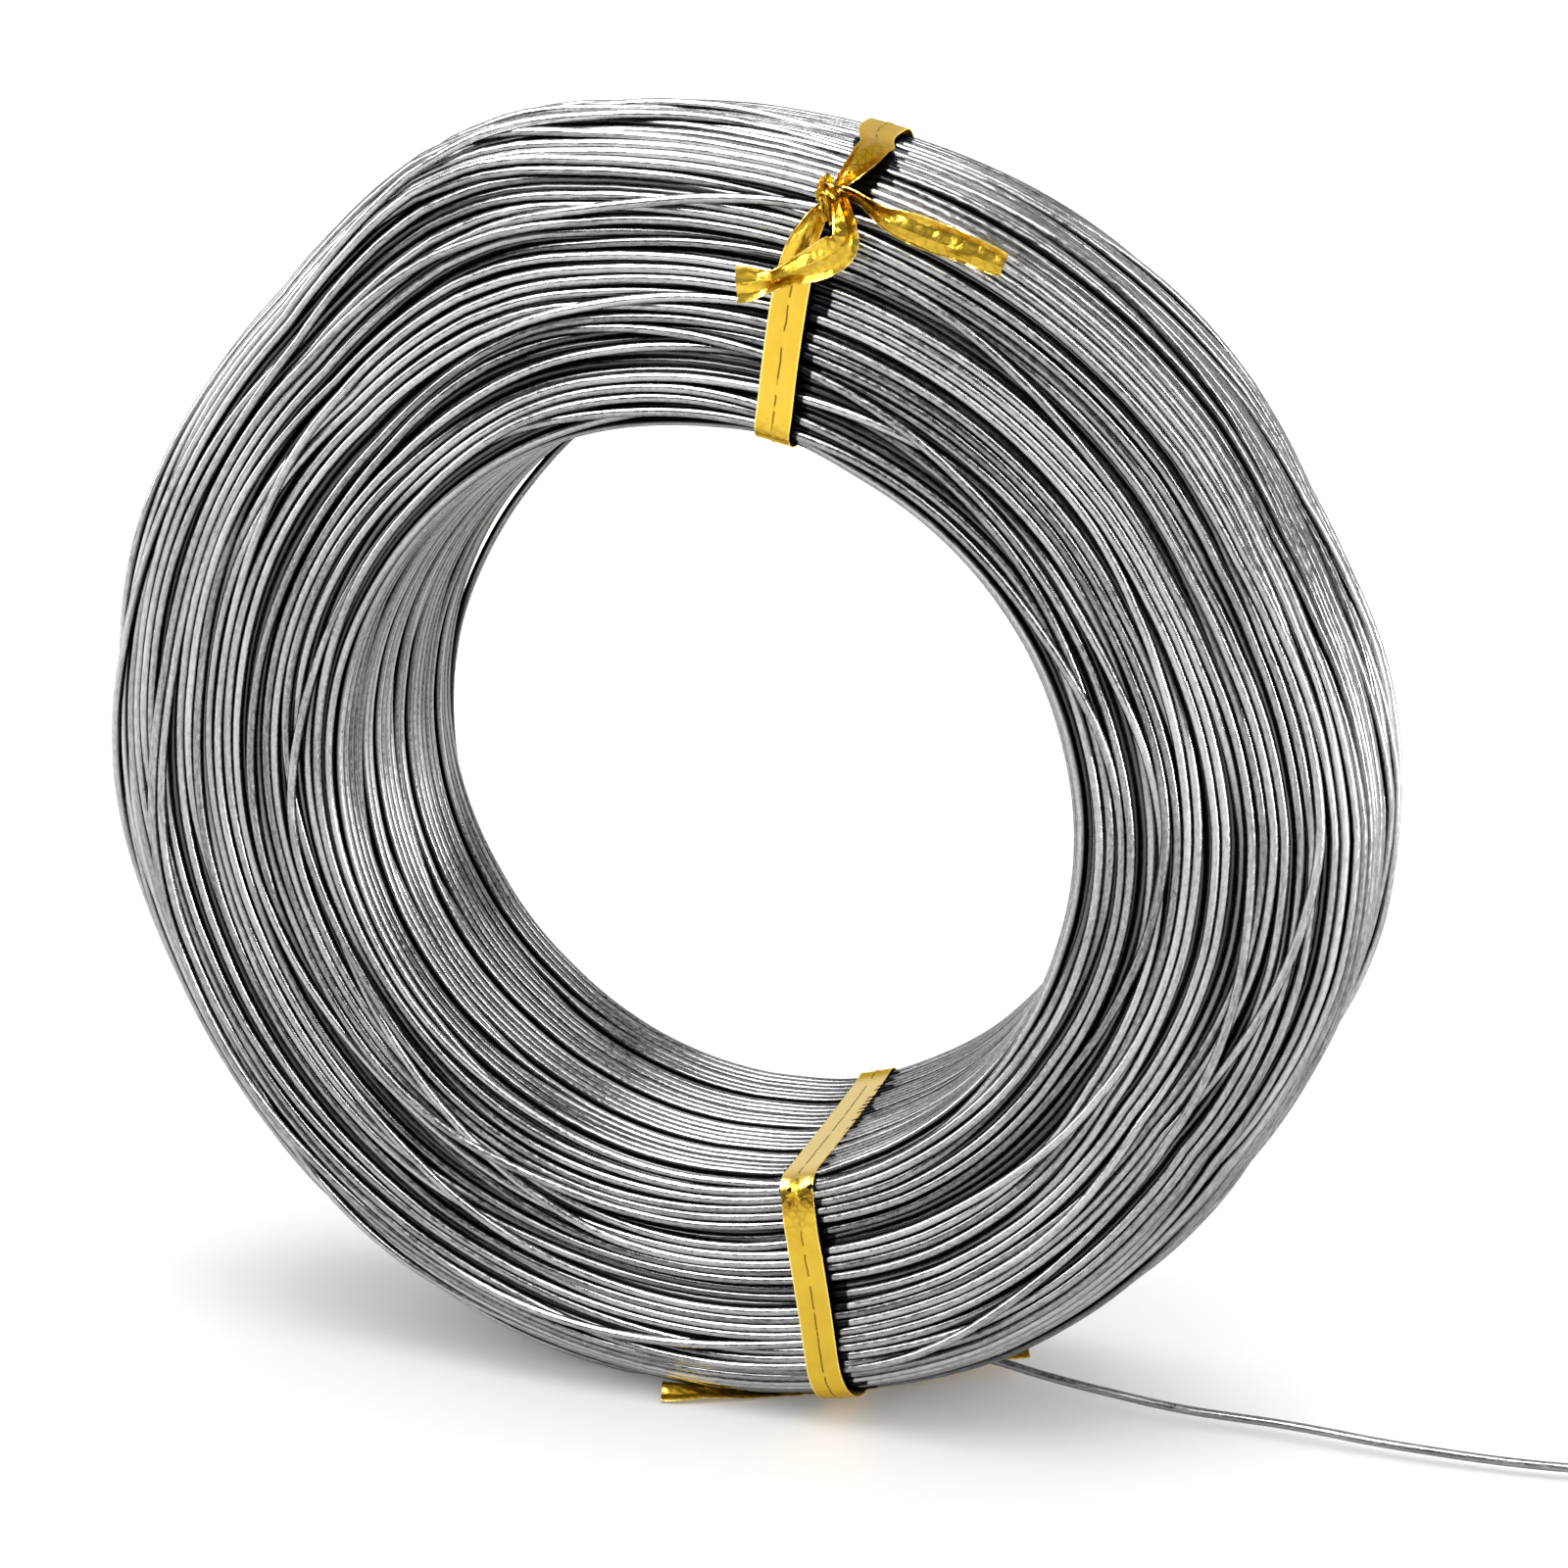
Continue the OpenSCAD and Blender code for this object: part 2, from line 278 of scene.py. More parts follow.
def startTurns(degrees):
    rng = np.random.default_rng(winding["seed"])
    stations = len(degrees)
    around = np.radians(degrees)
    d = coil["wireD"]
    lineAt = np.linspace(0, aroundL, 2000)
    pitches = winding["borePitch"] + (winding["facePitch"] - winding["borePitch"]) * looseness(lineAt)
    filled = np.concatenate([[0], np.cumsum(np.diff(lineAt) * 1000 / pitches[1:])])
    lower, upper, strays = winding["lower"], int(filled[-1]), winding["strays"]
    count = lower + upper + strays
    pitch = aroundL / upper

    # home places, slow waves that neighbours share, and small waves of each turn's own
    home = np.concatenate([
        (np.arange(lower) + 0.5) / lower * aroundL,
        np.interp((np.arange(upper) + 0.5) / upper * filled[-1], filled, lineAt),
        rng.uniform(0, winding["strayReach"], strays),
    ])
    loose = looseness(home)
    u = home[:, None] + np.zeros((count, stations))
    for k in range(1, 6):
        for q in (2, 5, 9, 14):
            u += winding["sharedWave"] * d * np.cos(k * around + rng.uniform(0, 7))[None] * (
                loose * np.cos(2 * np.pi * q * home / aroundL + rng.uniform(0, 7)))[:, None]
    for k in range(1, 10):
        own = rng.normal(0, winding["ownWave"] * d / math.sqrt(k), count) * (0.25 + 0.75 * loose)
        u += own[:, None] * np.cos(k * around[None] + rng.uniform(0, 7, count)[:, None])

    h = np.zeros((count, stations))
    h[:lower] = -winding["lowerDepth"] * d
    rise = rng.uniform(*winding["startHeight"], upper)
    h[lower:lower + upper] = rise[:, None] * d * loose[lower:lower + upper, None]
    h[lower + upper:] = winding["strayHeight"] * d

    # a turn leaves its place, crosses over some neighbours, runs there a while and comes back
    for _ in range(winding["crossings"]):
        slot, over = int(rng.integers(upper)), int(rng.choice(crossing["over"]))
        side = rng.choice([-1, 1])
        goal = looseness(home[lower + slot] + side * over * pitch)
        if min(goal, loose[lower + slot]) < crossing["fromLoose"]:
            continue
        first, width = rng.uniform(-180, 180), rng.uniform(*crossing["ramp"]) * (0.5 + 0.7 * over)
        last = first + width + rng.uniform(*crossing["run"])
        lift = np.maximum(between(degrees, first - width / 2, first + width / 2, width),
                          between(degrees, last - width / 2, last + width / 2, width))
        u[lower + slot] += side * over * pitch * between(degrees, first, last, width)
        h[lower + slot] += rng.uniform(*crossing["lift"]) * d * lift
        for step in range(1, over + 1):
            passed = lower + (slot + side * step) % upper
            u[passed] -= side * pitch * between(degrees, first, last, width * 1.2)
    for row in range(lower + upper, count):
        for _ in range(2):
            first = rng.uniform(-180, 180)
            u[row] += rng.choice([-1, 1]) * rng.uniform(*stray["shift"]) * d * between(
                degrees, first, first + rng.uniform(*stray["run"]), rng.uniform(*stray["ramp"]))
    return u, h, home


def bundleHeight(u, around):
    waves = np.zeros_like(u)
    for q, k, size, phase in bundleWaves:
        waves += size * coil["wireD"] * np.cos(2 * np.pi * q * u / aroundL + k * around[None] + phase)
    return waves * (0.1 + 0.9 * looseness(u))


# neighbours that are closer than a diameter push each other apart
def pushApart(u, h):
    d = coil["wireD"]
    order = np.argsort(u, axis=0)
    su, sh = np.take_along_axis(u, order, 0), np.take_along_axis(h, order, 0)
    moveU, moveH = np.zeros_like(su), np.zeros_like(sh)
    for step in range(1, winding["neighbours"] + 1):
        du = np.roll(su, -step, 0) - su
        du[-step:] += aroundL
        dh = np.roll(sh, -step, 0) - sh
        gap = np.maximum(np.hypot(du, dh), 1e-6)
        push = np.clip(d * 1.01 - gap, 0, None) / gap * 0.5
        moveU += np.roll(push * du, step, 0) - push * du
        moveH += np.roll(push * dh, step, 0) - push * dh
    np.put_along_axis(u, order, su + moveU * winding["pushShare"], 0)
    np.put_along_axis(h, order, sh + moveH * winding["pushShare"], 0)


def settleTurns(u, h, degrees):
    d = coil["wireD"]
    around = np.radians(degrees)
    # a tie presses the turns under it, most of all inside the bore
    reach = np.full(len(degrees), 99.0)
    for tie in (coil["topTie"], coil["bottomTie"]):
        reach = np.minimum(reach, np.abs((degrees - tie + 180) % 360 - 180))
    near = np.exp(-(reach / winding["tieReach"]) ** 2)

    startU = u.copy()
    for i in range(winding["rounds"]):
        h -= winding["sink"] * d
        u += (startU - u) * winding["homePull"]
        x = np.interp(u % aroundL, lineU, lineRows[:, 0])
        inBore = x < coil["boreR"] + winding["boreEdge"]
        press = np.where(inBore, winding["borePress"], winding["facePress"]) * d * near[None]
        low = np.minimum(-winding["bed"] * d, -winding["softBed"] * d + bundleHeight(u, around)) - press
        held = tieHold["height"] * d + np.maximum(reach - tieHold["flat"], 0) * tieHold["slope"] * d
        cap = np.where(reach < tieHold["free"], held, 9)[None] - press
        for _ in range(winding["passes"]):
            pushApart(u, h)
            h = np.minimum(np.maximum(h, low), np.maximum(cap, low))
        if i < winding["rounds"] - 1:
            u = stiffen(u, winding["stiffness"])
            h = stiffen(h, winding["stiffness"])
    return stiffen(u, winding["endStiffness"]), stiffen(h, winding["endStiffness"])


stationDegrees = np.arange(winding["stations"]) * 360 / winding["stations"] - 180
turnU, turnH, turnHome = startTurns(stationDegrees)
turnU, turnH = settleTurns(turnU, turnH, stationDegrees)

# a few turns at the back of the bore hang away from the others at the upper left: metres round the
# section, and wire diameters
hangingTurns = ((0.0645, -0.3), (0.0655, -0.4), (0.0667, -0.4), (0.0679, 1.3))
hanging = smoothStep(stationDegrees, -125, -80) * (1 - smoothStep(stationDegrees, -50, -12))
for place, away in hangingTurns:
    row = winding["lower"] + int(np.argmin(np.abs(turnHome[winding["lower"]:-winding["strays"]] - place)))
    turnH[row] += away * coil["wireD"] * hanging
print("winding worked out:", len(turnU), "turns")


def windingPiece(name, rows, resolution, every=1):
    deselectAll()
    bpy.ops.curve.primitive_bezier_circle_add(radius=coil["boreR"], location=(0, 0, 0))
    piece = bpy.context.object
    curve = piece.data
    curve.dimensions = "3D"
    curve.splines.clear()
    middles, outward, heights, alongs = [], [], [], []
    degrees = stationDegrees[::every]
    for row in rows:
        u, h = turnU[row, ::every], turnH[row, ::every]
        places = placeOn(u, h, degrees)
        nx, ny = (np.interp(u % aroundL, lineU, lineRows[:, i]) for i in (2, 3))
        a = np.radians(degrees)
        middles.append(places)
        outward.append(np.stack([nx * np.sin(a), ny, nx * np.cos(a)], axis=-1))
        heights.append(h)
        alongs.append(u)
        line = curve.splines.new("POLY")
        line.points.add(len(places) - 1)
        line.points.foreach_set("co", np.c_[places, np.ones(len(places))].ravel())
        line.use_cyclic_u = True
    curve.bevel_depth = coil["wireD"] / 2
    curve.bevel_resolution = resolution
    bpy.ops.object.convert(target="MESH")
    piece = bpy.context.object
    piece.name = name
    bpy.ops.object.shade_smooth()
    mesh = piece.data
    rng = np.random.default_rng(len(rows))
    # how open each spot is to the light: painted shade, by which the material darkens the grooves between
    # turns, the turns that lie deeper, and the bore's grooves more
    around = len(mesh.vertices) // len(rows) // len(degrees)
    spots = np.zeros(len(mesh.vertices) * 3)
    mesh.vertices.foreach_get("co", spots)
    facing = spots.reshape(-1, 3) - np.repeat(np.concatenate(middles), around, axis=0)
    facing = facing / (coil["wireD"] / 2)
    facing = np.sum(facing * np.repeat(np.concatenate(outward), around, axis=0), axis=1)
    deep = np.repeat(np.concatenate(heights), around) / coil["wireD"]
    standing = facing + np.clip(deep - 0.3, 0, 1)
    bore = np.repeat(1 - looseness(np.concatenate(alongs)), around)
    light = smoothStep(standing - 0.3 * bore, 0.0, 0.72) * (0.3 + 0.7 * smoothStep(deep, -0.9, 0))
    openness = mesh.attributes.new("openness", "FLOAT", "POINT")
    openness.data.foreach_set("value", light.astype(np.float32))
    tone = mesh.attributes.new("turnTone", "FLOAT", "POINT")
    tones = np.repeat(rng.random(len(rows)), len(mesh.vertices) // len(rows))
    tone.data.foreach_set("value", tones.astype(np.float32))
    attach(piece, "root")
    triangles = sum(len(face.vertices) - 2 for face in mesh.polygons)
    print(name, "has", len(rows), "turns and", triangles, "triangles")
    return piece


lowerRows = list(range(winding["lower"]))
surfaceRows = list(range(winding["lower"], len(turnU)))
middleX = np.interp(turnHome % aroundL, lineU, lineRows[:, 0])
middleY = np.interp(turnHome % aroundL, lineU, lineRows[:, 1])
sides = {"Rim": [], "Front": [], "Bore": [], "Back": []}
for row in surfaceRows:
    if middleX[row] > coil["rimR"] - 0.004:
        sides["Rim"].append(row)
    elif middleX[row] < coil["boreR"] + 0.0015:
        sides["Bore"].append(row)
    else:
        sides["Front" if middleY[row] < 0 else "Back"].append(row)

wirePieces = [windingPiece("turns" + side, rows, 3) for side, rows in sides.items()]
wirePieces.append(windingPiece("turnsUnder", lowerRows, 1, 2))


packed = {"around": 120, "across": 96, "depth": 2.0}       # depth in wire diameters


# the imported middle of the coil, under the two outer layers
def addPacking():
    deselectAll()
    bpy.ops.mesh.primitive_grid_add(x_subdivisions=packed["around"], y_subdivisions=packed["across"], size=1)
    piece = bpy.context.object
    piece.name = "packedMiddle"
    mesh = piece.data
    spots = np.zeros(len(mesh.vertices) * 3)
    mesh.vertices.foreach_get("co", spots)
    spots = spots.reshape(-1, 3)
    places = placeOn((spots[:, 1] + 0.5) * aroundL, -packed["depth"] * coil["wireD"],
                     (spots[:, 0] + 0.5) * 360 - 180)
    mesh.vertices.foreach_set("co", places.ravel())
    bpy.ops.object.mode_set(mode="EDIT")
    bpy.ops.mesh.select_all(action="SELECT")
    bpy.ops.mesh.remove_doubles(threshold=1e-6)
    bpy.ops.mesh.normals_make_consistent(inside=False)
    bpy.ops.object.mode_set(mode="OBJECT")
    bpy.ops.object.shade_smooth()
    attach(piece, "root")
    return piece


packing = addPacking()
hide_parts("wire_coil")
print("turns built")


ties = {
    "film": 0.12,          # millimetres, as all the rows below
    "detail": 14,          # faces across a ribbon
    "steps": 7,            # faces along it between two rows
    "crumple": 0.05,
    "pleats": 3,
    "seamRise": 0.1,       # over the core, in the middle of the ribbon
    "seamHalf": 0.12,      # share of the half width, as the two rows below
    "rimAt": 0.97,
    "rimHalf": 0.05,
    "rimRise": 0.05,
    "foldAngle": 35,       # degrees past which an edge shows sharp
}

# rows of the straps: round the section, sideways (clockwise from the front), over the turns, half
# width, pleats, and crush, which below 0 means flat film in the bore, less metallic and painted paler
topStrapRows = [
    (15.1, 0.8, 2.1, 0.55, 0.5, 1.0), (16.2, 0.3, 2.0, 0.8, 0.5, 0.8), (17.5, -0.4, 1.9, 1.1, 0.42, 0.5),
    (19.2, -1.0, 1.7, 1.4, 0.3, 0.3), (21.0, -1.3, 1.35, 1.65, 0.12, 0.1), (23.5, -1.4, 1.05, 1.8, 0.03, 0),
    (27, -1.3, 0.95, 1.85, 0, 0), (32, -0.95, 0.9, 1.85, 0, 0), (36.5, -0.5, 0.9, 1.85, 0, 0),
    (38.4, -0.35, 0.85, 1.85, 0, 0.2), (39.8, -0.3, 0.55, 1.85, 0, 0.5), (41.2, -0.2, 0.25, 1.9, 0, 0.2),
    (44, 0, 0.05, 1.95, 0, 0), (54, 0, 0, 2, 0, 0), (63.5, 0, 0.05, 1.95, 0, 0),
    (66.5, 0, 0.25, 1.9, 0, 0.2), (68, 0, 0.55, 1.9, 0, 0.5), (69.5, 0, 0.85, 1.95, 0, 0.2),
    (74, 0, 0.9, 2, 0, 0), (82, -0.4, 0.9, 2, 0, 0), (89.5, -0.9, 0.9, 2, 0, 0), (95, -1.3, 0.9, 2, 0, 0),
    (99.7, -1.3, 0.9, 2, 0, 0), (104, -1.0, 0.9, 2, 0, 0), (107.7, -0.3, 0.9, 1.9, 0, 0.05),
    (110.5, 0.6, 0.95, 1.8, 0.14, 0.35), (112.5, 1.2, 1.0, 1.75, 0.26, 0.6),
    (115, 1.5, 1.05, 1.7, 0.4, 0.75), (117.3, 1.8, 1.25, 1.65, 0.5, 0.8),
    (119.0, 1.9, 1.55, 1.5, 0.55, 0.8), (120.4, 1.7, 1.9, 1.3, 0.55, 0.85),
    (121.7, 1.3, 2.1, 0.9, 0.55, 0.85), (122.8, 0.8, 2.1, 0.5, 0.5, 1.0),
]
bottomStrapRows = [
    (2.5, 2.2, 0.9, 2.1, 0, 0), (6, 2.2, 0.9, 2.1, 0, 0), (10, 2.2, 0.9, 2, 0, 0),
    (14, 2.0, 0.9, 1.95, 0, 0), (18, 1.6, 0.9, 1.9, 0, 0), (24, 0.9, 0.9, 1.9, 0, 0),
    (30, 0.3, 0.9, 1.9, 0, 0), (33.5, 0, 0.85, 1.85, 0.03, 0.1), (35.5, -0.2, 0.8, 1.85, 0.14, 0.3),
    (36.8, -0.35, 0.7, 1.8, 0.25, 0.6), (37.8, -0.45, 0.55, 1.8, 0.3, 0.7),
    (39.0, -0.55, 0.3, 1.85, 0.14, 0.3), (40.4, -0.7, 0.08, 1.9, 0.04, -0.4), (43, -0.95, 0.02, 1.95, 0, -1),
    (54, -1.6, 0, 2, 0, -1), (63.5, -2.0, 0.05, 1.95, 0, -1), (66.5, -2.1, 0.25, 1.9, 0, 0.2),
    (68, -2.1, 0.55, 1.9, 0, 0.5), (69.5, -2.0, 0.85, 1.95, 0, 0.2), (76, -1.5, 0.9, 2, 0, 0),
    (84, -0.8, 0.9, 2, 0, 0), (91, 0, 0.9, 2, 0, 0), (97, 0.8, 0.9, 2, 0, 0), (102, 1.4, 0.9, 2, 0, 0),
    (107.7, 1.9, 0.9, 2.05, 0, 0), (110.2, 2.0, 0.9, 2.1, 0, 0),
]
# rows of the free ends: place sideways, along the bore and outwards; way across; half width,
# pleats, crush
topCurlRows = [
    (0.7, -16.4, 67.2, 0.9, 0.3, 0.3, 0.45, 0.45, 1), (1.5, -17.5, 66.8, 0.9, 0.3, 0.4, 0.7, 0.45, 1),
    (2.4, -18.3, 65.8, 0.9, 0.5, 0.3, 0.9, 0.45, 0.9), (3.2, -18.9, 64.6, 0.8, 0.6, 0, 1.1, 0.45, 0.7),
    (3.6, -19.1, 63.4, 0.7, 0.6, -0.3, 1.4, 0.32, 0.45), (3.2, -18.8, 62.2, 0.7, 0.2, -0.6, 1.7, 0.18, 0.3),
    (2.1, -18.2, 61, 0.6, 0, -0.8, 1.8, 0.15, 0.25), (0.7, -17.6, 59.8, 0.4, 0, -0.9, 1.65, 0.21, 0.3),
    (-0.8, -17.2, 58.7, 0.2, 0.1, -1, 1.3, 0.35, 0.4), (-2, -17, 57.8, 0.1, 0.2, -1, 1, 0.45, 0.6),
    (-3, -16.9, 57.1, 0.1, 0.1, -1, 0.95, 0.45, 0.6), (-4.1, -16.8, 56.6, 0.1, 0, -1, 1.3, 0.26, 0.3),
    (-5.3, -16.7, 56.1, 0.1, -0.1, -1, 1.7, 0.12, 0.2), (-6.6, -16.5, 55.6, 0.1, -0.1, -1, 1.8, 0.07, 0.2),
]
topTailRows = [
    (1, -16.6, 66.9, 0.2, 0.3, 0.9, 0.45, 0.45, 1), (2.4, -17, 67.1, 0.1, 0.3, 0.9, 0.5, 0.45, 1),
    (3.9, -17.3, 66.9, 0.2, 0.4, 0.8, 0.45, 0.45, 1), (5.2, -17.4, 66.4, 0.3, 0.4, 0.8, 0.6, 0.45, 0.9),
    (6.4, -17.4, 66, 0.25, 0.2, 0.9, 0.95, 0.38, 0.6), (8, -17.3, 65.7, 0.2, 0, 1, 1.35, 0.28, 0.4),
    (10, -17.2, 65.5, 0.15, -0.1, 1, 1.6, 0.24, 0.35), (12.3, -17.2, 65.3, 0.12, -0.1, 1, 1.6, 0.28, 0.4),
    (14.5, -17.1, 65.1, 0.12, -0.1, 1, 1.5, 0.33, 0.5), (16.6, -17, 64.8, 0.2, 0, 1, 1.4, 0.28, 0.4),
    (18.6, -16.9, 64.5, 0.35, 0, 1, 1.2, 0.21, 0.35),
]
knotRows = [
    (-0.1, -16.2, 66.0, 0.1, 0.5, 0.9, 0.8, 0.3, 1), (-0.4, -17.3, 66.6, 0, 0.4, 0.9, 0.85, 0.3, 0.9),
    (0.4, -18.2, 66.9, 0.1, 0.2, 1, 0.85, 0.34, 0.8), (1.4, -18.1, 66.8, 0.2, -0.2, 1, 0.85, 0.34, 0.8),
    (2.0, -17.2, 66.5, 0.1, -0.4, 0.9, 0.8, 0.3, 0.9), (1.9, -16.3, 66.2, 0.1, -0.5, 0.9, 0.7, 0.3, 1),
]
knotTwistRows = [
    (0.1, -16.7, 68.2, 0.9, 0.1, 0.3, 0.7, 0.3, 0.8), (0.2, -17.6, 67.5, 0.8, 0.2, 0.4, 0.75, 0.36, 0.9),
    (0.8, -18.4, 66.6, 0.7, 0.3, 0.4, 0.7, 0.36, 1), (1.3, -18.3, 65.6, 0.8, 0.3, 0.2, 0.75, 0.36, 0.9),
    (1.3, -17.6, 64.7, 0.9, 0.2, 0.1, 0.8, 0.3, 0.8), (0.7, -16.9, 64.0, 0.9, 0.1, 0, 0.7, 0.3, 0.8),
]

# the bottom tie's free ends lie near the floor: these rows are in the coil's own axes
bottomLeftRows = [
    (18.2, -4.4, -69.0, 0, 1, 0.3, 0.6, 0.3, 0.7), (16.8, -5.3, -69.2, 0.1, 1, 0.2, 0.8, 0.32, 0.7),
    (14.6, -6.2, -69.35, 0.3, 1, 0.2, 1.15, 0.26, 0.8), (11.0, -7.6, -69.45, 0.35, 1, 0.1, 1.5, 0.28, 0.8),
    (7.0, -9.1, -69.6, 0.4, 1, 0.05, 1.6, 0.26, 0.7), (3.2, -10.8, -69.5, 0.4, 1, 0, 1.7, 0.28, 0.6),
    (0.2, -12.1, -69.4, 0.4, 1, -0.1, 1.8, 0.24, 0.5), (-2.4, -13.1, -69.35, 0.35, 1, 0.1, 1.7, 0.22, 0.4),
    (-4.4, -13.7, -69.3, 0.3, 1, 0.2, 1.6, 0.16, 0.7),
]
bottomRightRows = [
    (17.6, -3.8, -69.1, 0.4, 0.9, 0.2, 0.6, 0.3, 1.0), (19.6, -3.2, -69.1, -0.3, 1, 0.1, 0.75, 0.3, 1.0),
    (22.6, -1.9, -68.8, -0.6, 0.8, 0, 1.3, 0.2, 0.8), (26.6, 2.0, -68.1, -0.6, 0.8, -0.1, 1.8, 0.12, 0.6),
    (29.8, 3.6, -67.8, -0.6, 0.8, 0, 1.9, 0.1, 0.6), (33.4, 4.9, -67.4, -0.6, 0.8, 0.1, 1.8, 0.12, 0.6),
]
bottomKnotRows = [
    (16.0, -2.4, -69.1, 0.3, 0.8, 0.5, 0.7, 0.26, 1.0), (16.6, -4.0, -69.2, 0.6, 0.6, 0.4, 0.75, 0.3, 1.0),
    (18.0, -4.5, -69.2, 0.9, 0.1, 0.4, 0.75, 0.3, 1.0), (18.8, -3.4, -69.1, 0.5, 0.7, 0.4, 0.75, 0.3, 1.0),
    (18.2, -2.3, -69.0, -0.3, 0.9, 0.4, 0.7, 0.26, 1.0),
]


# a smooth curve through the rows, with a number of steps between each two
def smoothRows(rows, steps):
    rows = np.array(rows, dtype=float)
    rows = np.vstack([2 * rows[0] - rows[1], rows, 2 * rows[-1] - rows[-2]])
    made = []
    for i in range(1, len(rows) - 2):
        a, b, c, d = rows[i - 1:i + 3]
        for t in np.arange(steps) / steps:
            made.append(0.5 * (2 * b + (c - a) * t + (2 * a - 5 * b + 4 * c - d) * t * t
                               + (3 * b - a - 3 * c + d) * t ** 3))
    made.append(rows[-2])
    return np.array(made)


# flat facets that meet at creases, as in film that was crushed and pulled out again
def creases(along, across, rng, count=9):
    height = np.zeros(np.broadcast(along, across).shape)
    for _ in range(count):
        turn, wave = rng.uniform(-1.2, 1.2), rng.uniform(0.4, 1.4)
        run = (along * math.cos(turn) + across * math.sin(turn)) * wave + rng.uniform(0, 9)
        height += np.abs(run % 2 - 1) * rng.uniform(0.4, 1) / count
    return height - 0.25


def filmPiece(name, count, shape, crush):
    deselectAll()
    bpy.ops.mesh.primitive_grid_add(x_subdivisions=count - 1, y_subdivisions=ties["detail"], size=1)
    piece = bpy.context.object
    piece.name = name
    mesh = piece.data
    spots = np.zeros(len(mesh.vertices) * 3)
    mesh.vertices.foreach_get("co", spots)
    spots = spots.reshape(-1, 3)
    along, across = spots[:, 0] + 0.5, spots[:, 1] * 2
    mesh.vertices.foreach_set("co", (shape(along, across) / 1000).ravel())
    marks = {"crush": crush(along), "acrossFilm": across, "alongFilm": along * count / ties["steps"]}
    for label, values in marks.items():
        mark = mesh.attributes.new(label, "FLOAT", "POINT")
        mark.data.foreach_set("value", values.astype(np.float32))
    wall = piece.modifiers.new("Film", "SOLIDIFY")
    wall.thickness = ties["film"] / 1000
    wall.offset = 0
    bpy.ops.object.modifier_apply(modifier=wall.name)
    bpy.ops.object.shade_smooth_by_angle(angle=math.radians(ties["foldAngle"]))
    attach(piece, "root")
    return piece


def rowsAt(rows, along):
    spread = np.linspace(0, 1, len(rows))
    return [np.interp(along, spread, rows[:, i]) for i in range(rows.shape[1])]


def pleatWave(across, count, phase=0.0):
    return np.abs((across * count / 2 + phase) % 2 - 1) * 2 - 1


def strapPiece(name, tie, rows, seed):
    rng = np.random.default_rng(seed)
    rows = smoothRows(rows, ties["steps"])

    def shape(along, across):
        u, side, over, half, pleat = rowsAt(rows[:, :5], along)
        x = np.interp(u / 1000 % aroundL, lineU, lineRows[:, 0]) * 1000
        seam = ties["seamRise"] * np.exp(-(across / ties["seamHalf"]) ** 2) * (pleat < 0.05)
        seam = seam + ties["rimRise"] * np.exp(-((np.abs(across) - ties["rimAt"]) / ties["rimHalf"]) ** 2)
        rough = creases(u * 0.9, across * 2, rng) * (ties["crumple"] + 0.5 * pleat)
        h = over + pleat * pleatWave(across, ties["pleats"], 0.3) + seam + rough
        return placeOn(u / 1000, h / 1000, tie + np.degrees((side + half * across) / x)) * 1000

    return filmPiece(name, len(rows), shape, lambda along: rowsAt(rows[:, 5:], along)[0])


def freeEndPiece(name, tie, rows, seed):
    rng = np.random.default_rng(seed)
    rows = smoothRows(rows, ties["steps"])
    a = math.radians(tie)
    axes = np.array([[math.cos(a), 0, -math.sin(a)], [0, 1, 0], [math.sin(a), 0, math.cos(a)]])
    middles, ways = rows[:, :3] @ axes, rows[:, 3:6] @ axes
    forward = np.gradient(middles, axis=0)
    forward /= np.linalg.norm(forward, axis=1)[:, None]
    ways -= np.sum(ways * forward, axis=1)[:, None] * forward
    ways /= np.linalg.norm(ways, axis=1)[:, None]
    faces = np.cross(forward, ways)
    lengths = np.concatenate([[0], np.cumsum(np.linalg.norm(np.diff(middles, axis=0), axis=1))])

    def shape(along, across):
        middle, way, face = (np.stack(rowsAt(values, along), axis=1) for values in (middles, ways, faces))
        half, pleat = rowsAt(rows[:, 6:8], along)
        run = np.interp(along, np.linspace(0, 1, len(rows)), lengths)
        lift = pleat * pleatWave(across, ties["pleats"], 0.2)
        lift = lift + creases(run, across * 2, rng) * (0.3 + 0.6 * pleat)
        return middle + way * (half * across)[:, None] + face * lift[:, None]

    return filmPiece(name, len(rows), shape, lambda along: rowsAt(rows[:, 8:], along)[0])


tiePieces = [
    strapPiece("topStrap", coil["topTie"], topStrapRows, 1),
    freeEndPiece("topCurl", coil["topTie"], topCurlRows, 2),
    freeEndPiece("topTail", coil["topTie"], topTailRows, 3),
    freeEndPiece("topKnot", coil["topTie"], knotRows, 4),
    freeEndPiece("topKnotTwist", coil["topTie"], knotTwistRows, 5),
    strapPiece("bottomStrap", coil["bottomTie"], bottomStrapRows, 6),
    freeEndPiece("bottomLeftEnd", 0, bottomLeftRows, 7),
    freeEndPiece("bottomRightEnd", 0, bottomRightRows, 8),
    freeEndPiece("bottomKnot", 0, bottomKnotRows, 9),
]
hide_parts("top_tie")
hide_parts("bottom_tie")
print("ties made:", len(tiePieces), "pieces")


